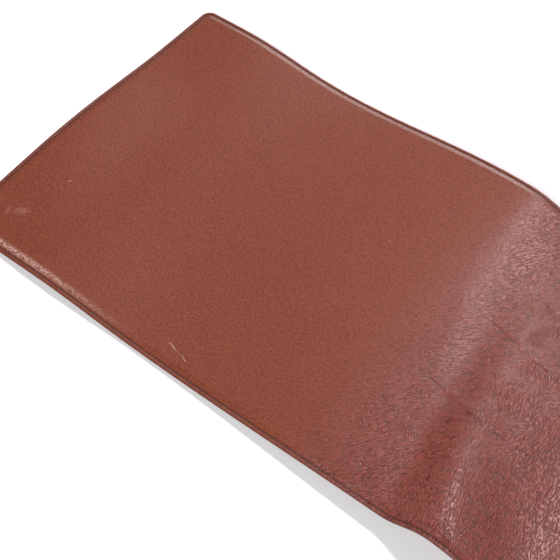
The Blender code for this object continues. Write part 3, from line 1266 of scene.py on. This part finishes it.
@dataclass
class Padding(Layer):
    """The foam sheet under the leather, pressed down where the leather's face dips."""

    step: float = 5.0 * MM
    rim: tuple[float, ...] = (8.6, 10.0, 12.5)
    slack: float = 0.12 * MM
    finish: CoreFinish = CoreFinish(
        "foam", (0.76, 0.75, 0.70), (0.60, 0.58, 0.52), 0.8 * MM, 0.95, 0.1 * MM
    )

    def build(self) -> bpy.types.Object:
        """Return the foam piece."""
        section = self.section
        rim = [section.padding_inset] + [line * MM for line in self.rim]
        sheet = self.sheet(rim, self.step)
        piece = self.slab(
            "padding_foam",
            sheet,
            lambda e: section.underside(e) + section.padding_level,
            lambda e: section.top_side(e) - section.leather - section.gap - self.slack,
        )
        points = read_points(piece.data)
        level = points[:, 2] - self.wave.height(points[:, 0], points[:, 1])
        edge = self.plan.inset(points[:, 0], points[:, 1])
        base = section.underside(edge) + section.padding_level
        share = np.clip((level - base) / section.padding, 0.0, 1.0)
        points[:, 2] += share * np.minimum(self.relief.lift(points[:, 0], points[:, 1]), 0.0)
        write_points(piece.data, points)
        return piece

    def dress(self, piece: bpy.types.Object, finish: CoreFinish) -> None:
        """Give the foam its finish and place it in the frame."""
        piece.data.materials.append(finish.make())
        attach(piece, BODY)
        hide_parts("padding")


class SeamFace(Enum):
    """The two faces of the mat on which the seam shows."""

    TOP = "top"
    UNDERSIDE = "underside"


class StitchTree(NodeGraph):
    """The Geometry Nodes tree that sews a row of stitches along a line."""

    INPUTS = (
        ("Stitches", "NodeSocketInt"),
        ("Length", "NodeSocketFloat"),
        ("Thread Radius", "NodeSocketFloat"),
        ("Crown", "NodeSocketFloat"),
        ("Dip", "NodeSocketFloat"),
        ("Slant", "NodeSocketFloat"),
        ("Unevenness", "NodeSocketFloat"),
        ("Seed", "NodeSocketInt"),
        ("Finish", "NodeSocketMaterial"),
    )

    def __init__(self) -> None:
        """Build the tree."""
        super().__init__(bpy.data.node_groups.new("stitch_row", "GeometryNodeTree"))
        face = self.tree.interface
        face.new_socket("Geometry", in_out="INPUT", socket_type="NodeSocketGeometry")
        for name, kind in self.INPUTS:
            face.new_socket(name, in_out="INPUT", socket_type=kind)
        face.new_socket("Geometry", in_out="OUTPUT", socket_type="NodeSocketGeometry")
        self.start = self.node("NodeGroupInput")
        self.wire()

    def link(self, source: bpy.types.NodeSocket, target: bpy.types.NodeSocket) -> None:
        """Link two sockets."""
        self.tree.links.new(source, target)

    def one_stitch(self) -> bpy.types.NodeSocket:
        """Return the geometry of one stitch: a bowed thread whose ends dip into their holes."""
        give = self.start.outputs
        half = self.math("MULTIPLY", give["Length"], 0.5)
        minus = self.math("MULTIPLY", half, -1.0)
        arc = self.node("GeometryNodeCurveQuadraticBezier")
        arc.inputs["Resolution"].default_value = 7
        for socket, x, z in (
            ("Start", minus, give["Dip"]),
            ("Middle", None, give["Crown"]),
            ("End", half, give["Dip"]),
        ):
            spot = self.node("ShaderNodeCombineXYZ")
            if x is not None:
                self.link(x, spot.inputs["X"])
            self.link(z, spot.inputs["Z"])
            self.link(spot.outputs[0], arc.inputs[socket])
        ring = self.node("GeometryNodeCurvePrimitiveCircle")
        ring.inputs["Resolution"].default_value = 6
        self.link(give["Thread Radius"], ring.inputs["Radius"])
        path = self.keep_factor(arc.outputs["Curve"], "ply_along")
        profile = self.keep_factor(ring.outputs["Curve"], "ply_round")
        tube = self.node("GeometryNodeCurveToMesh")
        tube.inputs["Fill Caps"].default_value = True
        self.link(path, tube.inputs["Curve"])
        self.link(profile, tube.inputs["Profile Curve"])
        return tube.outputs["Mesh"]

    def keep_factor(self, curve: bpy.types.NodeSocket, name: str) -> bpy.types.NodeSocket:
        """Store each point's share of the way along its curve under a name."""
        share = self.node("GeometryNodeSplineParameter")
        store = self.node("GeometryNodeStoreNamedAttribute", data_type="FLOAT", domain="POINT")
        self.link(curve, store.inputs["Geometry"])
        store.inputs["Name"].default_value = name
        self.link(share.outputs["Factor"], store.inputs["Value"])
        return store.outputs["Geometry"]

    def read(self, name: str, kind: str) -> bpy.types.NodeSocket:
        """Return an attribute of the geometry."""
        made = self.node("GeometryNodeInputNamedAttribute", data_type=kind)
        made.inputs["Name"].default_value = name
        return made.outputs["Attribute"]

    def wire(self) -> None:
        """Join the row: resample the line, set a stitch at each point, and merge them."""
        give = self.start.outputs
        line = self.node("GeometryNodeMeshToCurve")
        self.link(give["Geometry"], line.inputs["Mesh"])
        even = self.node("GeometryNodeResampleCurve")
        self.link(line.outputs["Curve"], even.inputs["Curve"])
        self.link(give["Stitches"], even.inputs["Count"])
        ahead = self.node("FunctionNodeAlignRotationToVector", axis="X")
        self.link(self.node("GeometryNodeInputTangent").outputs[0], ahead.inputs["Vector"])
        upright = self.node("FunctionNodeAlignRotationToVector", axis="Z", pivot_axis="X")
        self.link(ahead.outputs["Rotation"], upright.inputs["Rotation"])
        self.link(self.read("up", "FLOAT_VECTOR"), upright.inputs["Vector"])
        wobble = self.node("FunctionNodeRandomValue", data_type="FLOAT")
        wobble.inputs[2].default_value = -1.0
        wobble.inputs[3].default_value = 1.0
        self.link(give["Seed"], wobble.inputs["Seed"])
        uneven = self.math("MULTIPLY_ADD", wobble.outputs[1], give["Unevenness"], give["Slant"])
        turn = self.node("ShaderNodeCombineXYZ")
        self.link(uneven, turn.inputs["Z"])
        spin = self.node("FunctionNodeEulerToRotation")
        self.link(turn.outputs[0], spin.inputs[0])
        both = self.node("FunctionNodeRotateRotation", rotation_space="LOCAL")
        self.link(upright.outputs["Rotation"], both.inputs["Rotation"])
        self.link(spin.outputs[0], both.inputs["Rotate By"])
        row = self.node("GeometryNodeInstanceOnPoints")
        self.link(even.outputs["Curve"], row.inputs["Points"])
        self.link(self.one_stitch(), row.inputs["Instance"])
        self.link(both.outputs["Rotation"], row.inputs["Rotation"])
        real = self.node("GeometryNodeRealizeInstances")
        self.link(row.outputs["Instances"], real.inputs["Geometry"])
        pair = self.node("ShaderNodeCombineXYZ")
        self.link(self.read("ply_along", "FLOAT"), pair.inputs["X"])
        self.link(self.read("ply_round", "FLOAT"), pair.inputs["Y"])
        store = self.node(
            "GeometryNodeStoreNamedAttribute", data_type="FLOAT_VECTOR", domain="POINT"
        )
        self.link(real.outputs["Geometry"], store.inputs["Geometry"])
        store.inputs["Name"].default_value = "ply"
        self.link(pair.outputs[0], store.inputs["Value"])
        smooth = self.node("GeometryNodeSetShadeSmooth")
        self.link(store.outputs["Geometry"], smooth.inputs["Geometry"])
        dress = self.node("GeometryNodeSetMaterial")
        self.link(smooth.outputs["Geometry"], dress.inputs["Geometry"])
        self.link(give["Finish"], dress.inputs["Material"])
        end = self.node("NodeGroupOutput")
        self.link(dress.outputs["Geometry"], end.inputs["Geometry"])

    def run(self, line: bpy.types.Object, name: str, values: dict[str, object]) -> bpy.types.Object:
        """Sew one row.

        Args:
            line: A mesh line that the row follows, with its normals stored as "up". It is removed.
            name: The new piece's name.
            values: The tree's inputs by name.

        Returns:
            The row as one plain mesh.
        """
        modifier = line.modifiers.new("stitches", "NODES")
        modifier.node_group = self.tree
        for item in self.tree.interface.items_tree:
            if item.in_out == "INPUT" and item.name in values:
                modifier[item.identifier] = values[item.name]
        bpy.context.view_layer.update()
        ready = line.evaluated_get(bpy.context.evaluated_depsgraph_get())
        mesh = bpy.data.meshes.new_from_object(ready)
        mesh.name = name
        piece = bpy.data.objects.new(name, mesh)
        bpy.context.scene.collection.objects.link(piece)
        line.modifiers.remove(modifier)
        bpy.data.objects.remove(line)
        return piece


@dataclass
class Seam(Layer):
    """The lockstitched seam that runs round the mat a few millimetres inside its edge."""

    pitch: float = 3.6 * MM
    thread_radius: float = 0.32 * MM
    slant: float = math.radians(7)
    unevenness: float = math.radians(3)
    line_step: float = 0.9 * MM
    cover: float = 0.93
    crown: float = 0.62 * MM
    dip: float = 0.42 * MM
    under_lift: float = 0.2 * MM
    seed: int = 11

    @property
    def stitches(self) -> int:
        """Return how many stitches the seam has."""
        return round(self.plan.seam_length(self.section.seam_inset) / self.pitch)

    @property
    def true_pitch(self) -> float:
        """Return the pitch that fits the seam exactly."""
        return self.plan.seam_length(self.section.seam_inset) / self.stitches

    def line(self, name: str, level: float) -> bpy.types.Object:
        """Return the seam's line at a level, starting half a stitch along, as a mesh."""
        total = self.plan.seam_length(self.section.seam_inset)
        count = round(total / self.line_step)
        along = (np.arange(count) / count * total + self.true_pitch / 2) % total
        x, y = self.plan.seam_places(self.section.seam_inset, along)
        points = self.lay(np.stack([x, y, np.full_like(x, level)], axis=-1))
        mesh = bpy.data.meshes.new(name)
        ring = [(i, (i + 1) % count) for i in range(count)]
        mesh.from_pydata(points.tolist(), ring, [])
        store = mesh.attributes.new("up", "FLOAT_VECTOR", "POINT")
        store.data.foreach_set("vector", self.wave.up(x, y).astype(np.float32).ravel())
        line = bpy.data.objects.new(name, mesh)
        bpy.context.scene.collection.objects.link(line)
        return line

    def build(
        self, face: SeamFace, tree: StitchTree, finish: bpy.types.Material
    ) -> bpy.types.Object:
        """Sew the seam on one face.

        Args:
            face: The face on which this thread shows.
            tree: The tree that sews a row.
            finish: The thread's material.

        Returns:
            The row of stitches.
        """
        section = self.section
        edge = np.array(section.seam_inset)
        if face is SeamFace.TOP:
            level, up, name = float(section.top_side(edge)), 1.0, "needle_stitches"
        else:
            under = float(section.underside(edge)) + self.under_lift
            level, up, name = under, -1.0, "bobbin_stitches"
        values = {
            "Stitches": self.stitches,
            "Length": self.true_pitch * self.cover,
            "Thread Radius": self.thread_radius,
            "Crown": up * self.crown,
            "Dip": -up * self.dip,
            "Slant": self.slant * up,
            "Unevenness": self.unevenness,
            "Seed": self.seed,
            "Finish": finish,
        }
        return tree.run(self.line(name + "_line", level), name, values)

    def dress(self, piece: bpy.types.Object, node: str) -> None:
        """Place a row of stitches in the frame."""
        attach(piece, BODY)
        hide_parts(node)


@dataclass
class EdgeTape(Layer):
    """A strip of woven tape along one side, which the seam presses down with the leather."""

    side: Side = Side.FRONT
    step: float = 6.0 * MM
    cross_lines: int = 9

    def build(self) -> bpy.types.Object:
        """Return the strip."""
        section = self.section
        along_x = self.side in (Side.FRONT, Side.BACK)
        size, depth = (self.plan.length, self.plan.width)[:: 1 if along_x else -1]
        sign = 1 if self.side in (Side.BACK, Side.RIGHT) else -1
        run = self.plan.lines(size, [self.plan.corner_radius], self.step)
        inner, outer = depth / 2 - section.tape_end, depth / 2 - section.tape_inset
        cross = np.linspace(inner, outer, self.cross_lines) * sign
        sheet = plan_sheet(run, cross) if along_x else plan_sheet(cross, run)
        name = f"edge_tape_strip_{self.side.value}"
        return self.slab(name, sheet, self.level, lambda e: self.level(e) + section.tape)

    def level(self, edge: Array) -> Array:
        """Return the level of the strip's lower face."""
        section = self.section
        press = section.tape_press * bell((edge - section.seam_inset) / section.groove_half)
        return section.underside(edge) + section.tape_level - press

    def dress(self, piece: bpy.types.Object, material: bpy.types.Material) -> None:
        """Give the strip its finish and place it in the frame."""
        piece.data.materials.append(material)
        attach(piece, BODY)
        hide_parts(f"edge_tape_{self.side.value}")


@dataclass
class Board(Layer):
    """The thin bonded board that lies between the lining and the foam."""

    step: float = 6.0 * MM
    rim: tuple[float, ...] = (10.0, 12.5)

    def build(self) -> bpy.types.Object:
        """Return the board."""
        section = self.section
        sheet = self.sheet([section.board_inset] + [line * MM for line in self.rim], self.step)
        return self.slab(
            "stiffener_board",
            sheet,
            lambda e: section.underside(e) + section.lip_level,
            lambda e: section.underside(e) + section.lip_level + section.board,
        )

    def dress(self, piece: bpy.types.Object, finish: CoreFinish) -> None:
        """Give the board its finish and place it in the frame."""
        piece.data.materials.append(finish.make())
        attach(piece, BODY)
        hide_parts("stiffener")


@dataclass
class InnerParts:
    """The board and the four edge tapes, which the leather seals in."""

    board: CoreFinish = CoreFinish(
        "bonded_board", (0.34, 0.22, 0.13), (0.20, 0.11, 0.06), 1.1 * MM, 0.85, 0.05 * MM
    )
    tape: CoreFinish = CoreFinish(
        "woven_tape", (0.80, 0.78, 0.72), (0.62, 0.60, 0.54), 0.5 * MM, 0.8, 0.04 * MM
    )

    def build(self, shared: tuple[Plan, Wave, Section, Relief]) -> None:
        """Lay the board and the tapes and give them their finishes."""
        board = Board(*shared)
        board.dress(board.build(), self.board)
        finish = self.tape.make()
        for side in Side:
            strip = EdgeTape(*shared, side=side)
            strip.dress(strip.build(), finish)


# --------------------------------------------------------------------------------------------
# The studio.


@dataclass(frozen=True)
class Lamp:
    """A soft box: where it hangs, what it points at, its size and its power."""

    name: str
    place: tuple[float, float, float]
    target: tuple[float, float, float]
    width: float
    depth: float
    power: float
    colour: tuple[float, float, float] = (1.0, 1.0, 1.0)

    def hang(self) -> None:
        """Add the lamp to the scene."""
        light = bpy.data.lights.new(self.name, "AREA")
        light.shape = "RECTANGLE"
        light.size, light.size_y = self.width, self.depth
        light.energy = self.power
        light.color = self.colour
        lamp = bpy.data.objects.new(self.name, light)
        lamp.location = self.place
        aim = Vector(self.target) - Vector(self.place)
        lamp.rotation_euler = aim.to_track_quat("-Z", "Y").to_euler()
        bpy.context.scene.collection.objects.link(lamp)


@dataclass(frozen=True)
class Studio:
    """The pale table, the soft light and the camera."""

    azimuth: float = math.radians(39.8)
    elevation: float = math.radians(53.13)
    eye: tuple[float, float, float] = (0.5323, -0.7725, 1.2782)
    lens: float = 115.7
    ambient: float = 0.14
    sky_colour: tuple[float, float, float, float] = (0.97, 0.98, 1.0, 1.0)
    floor_size: float = 12.0
    floor_colour: tuple[float, float, float] = (0.97, 0.97, 0.97)
    lamps: tuple[Lamp, ...] = (
        Lamp("spot_box", (0.28, 0.85, 1.85), (0.05, 0.0, 0.0), 0.17, 0.17, 22.0, (1.0, 0.88, 0.96)),
        Lamp("back_box", (-0.2, 2.3, 2.6), (0.0, 0.0, 0.0), 3.6, 2.4, 26.0),
        Lamp("low_box", (-0.9, 2.6, 0.9), (0.0, 0.0, 0.0), 1.6, 0.6, 34.0),
        Lamp("front_box", (0.6, -2.6, 2.4), (0.0, 0.0, 0.0), 1.8, 1.5, 108.0),
    )

    def floor(self) -> bpy.types.Object:
        """Lay the pale table top."""
        bpy.ops.mesh.primitive_plane_add(size=self.floor_size, location=(0.0, 0.0, 0.0))
        floor = bpy.context.object
        floor.name = "table_top"
        graph = ShaderGraph("pale_table")
        graph.set("Base Color", self.floor_colour)
        graph.set("Roughness", 0.6)
        graph.set("Specular IOR Level", 0.2)
        floor.data.materials.append(graph.material)
        return floor

    def camera(self) -> None:
        """Set up the camera."""
        view = bpy.data.cameras.new("camera")
        view.lens = self.lens
        view.sensor_width = 36.0
        view.clip_end = 50.0
        camera = bpy.data.objects.new("camera", view)
        camera.location = self.eye
        camera.rotation_euler = (math.pi / 2 - self.elevation, 0.0, self.azimuth)
        bpy.context.scene.collection.objects.link(camera)
        bpy.context.scene.camera = camera

    def light(self) -> None:
        """Light the scene from soft boxes and an even sky."""
        world = bpy.data.worlds.new("sky")
        world.use_nodes = True
        sky = world.node_tree.nodes["Background"]
        sky.inputs["Color"].default_value = self.sky_colour
        sky.inputs["Strength"].default_value = self.ambient
        bpy.context.scene.world = world
        bpy.context.scene.view_settings.view_transform = "Standard"
        for lamp in self.lamps:
            lamp.hang()

    def set_up(self) -> None:
        """Add the camera, the light and the table."""
        self.camera()
        self.light()
        self.floor()


# --------------------------------------------------------------------------------------------
# The whole mat.


@dataclass
class DeskMat:
    """The mat: its plan, wave and section, and the layers built from them."""

    plan: Plan
    section: Section

    @classmethod
    def of_frame(cls) -> DeskMat:
        """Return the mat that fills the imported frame."""
        return cls(plan=Plan.of_node("top_leather"), section=Section())

    def build(self) -> None:
        """Build every layer in order, from the table up."""
        shared = (self.plan, Wave(self.plan), self.section, Relief(self.plan, self.section))
        seam = Seam(*shared)
        lining = Lining(*shared)
        under = lining.build()
        lining.dress(under, SuedeFinish())
        self.report(under)
        padding = Padding(*shared)
        foam = padding.build()
        padding.dress(foam, padding.finish)
        self.report(foam)
        leather = TopLeather(*shared)
        skin = leather.build()
        creases = leather.relief.creases
        finish = LeatherFinish(self.plan, self.section, seam.true_pitch, creases=creases)
        leather.dress(skin, finish)
        self.report(skin)
        self.sew(seam)
        InnerParts().build(shared)

    def sew(self, seam: Seam) -> None:
        """Sew the seam on both faces."""
        tree = StitchTree()
        thread = ThreadFinish().make()
        for face, node in ((SeamFace.TOP, "needle_thread"), (SeamFace.UNDERSIDE, "bobbin_thread")):
            row = seam.build(face, tree, thread)
            seam.dress(row, node)
            self.report(row)

    @staticmethod
    def report(piece: bpy.types.Object) -> None:
        """Log a finished piece."""
        LOG.info("%s: %d faces", piece.name, len(piece.data.polygons))


def main() -> None:
    """Set up the studio and build the mat, logging each piece's face count."""
    logging.basicConfig(level=logging.INFO, format="%(name)s: %(message)s")
    Studio().set_up()
    DeskMat.of_frame().build()


if __name__ == "__main__":
    main()
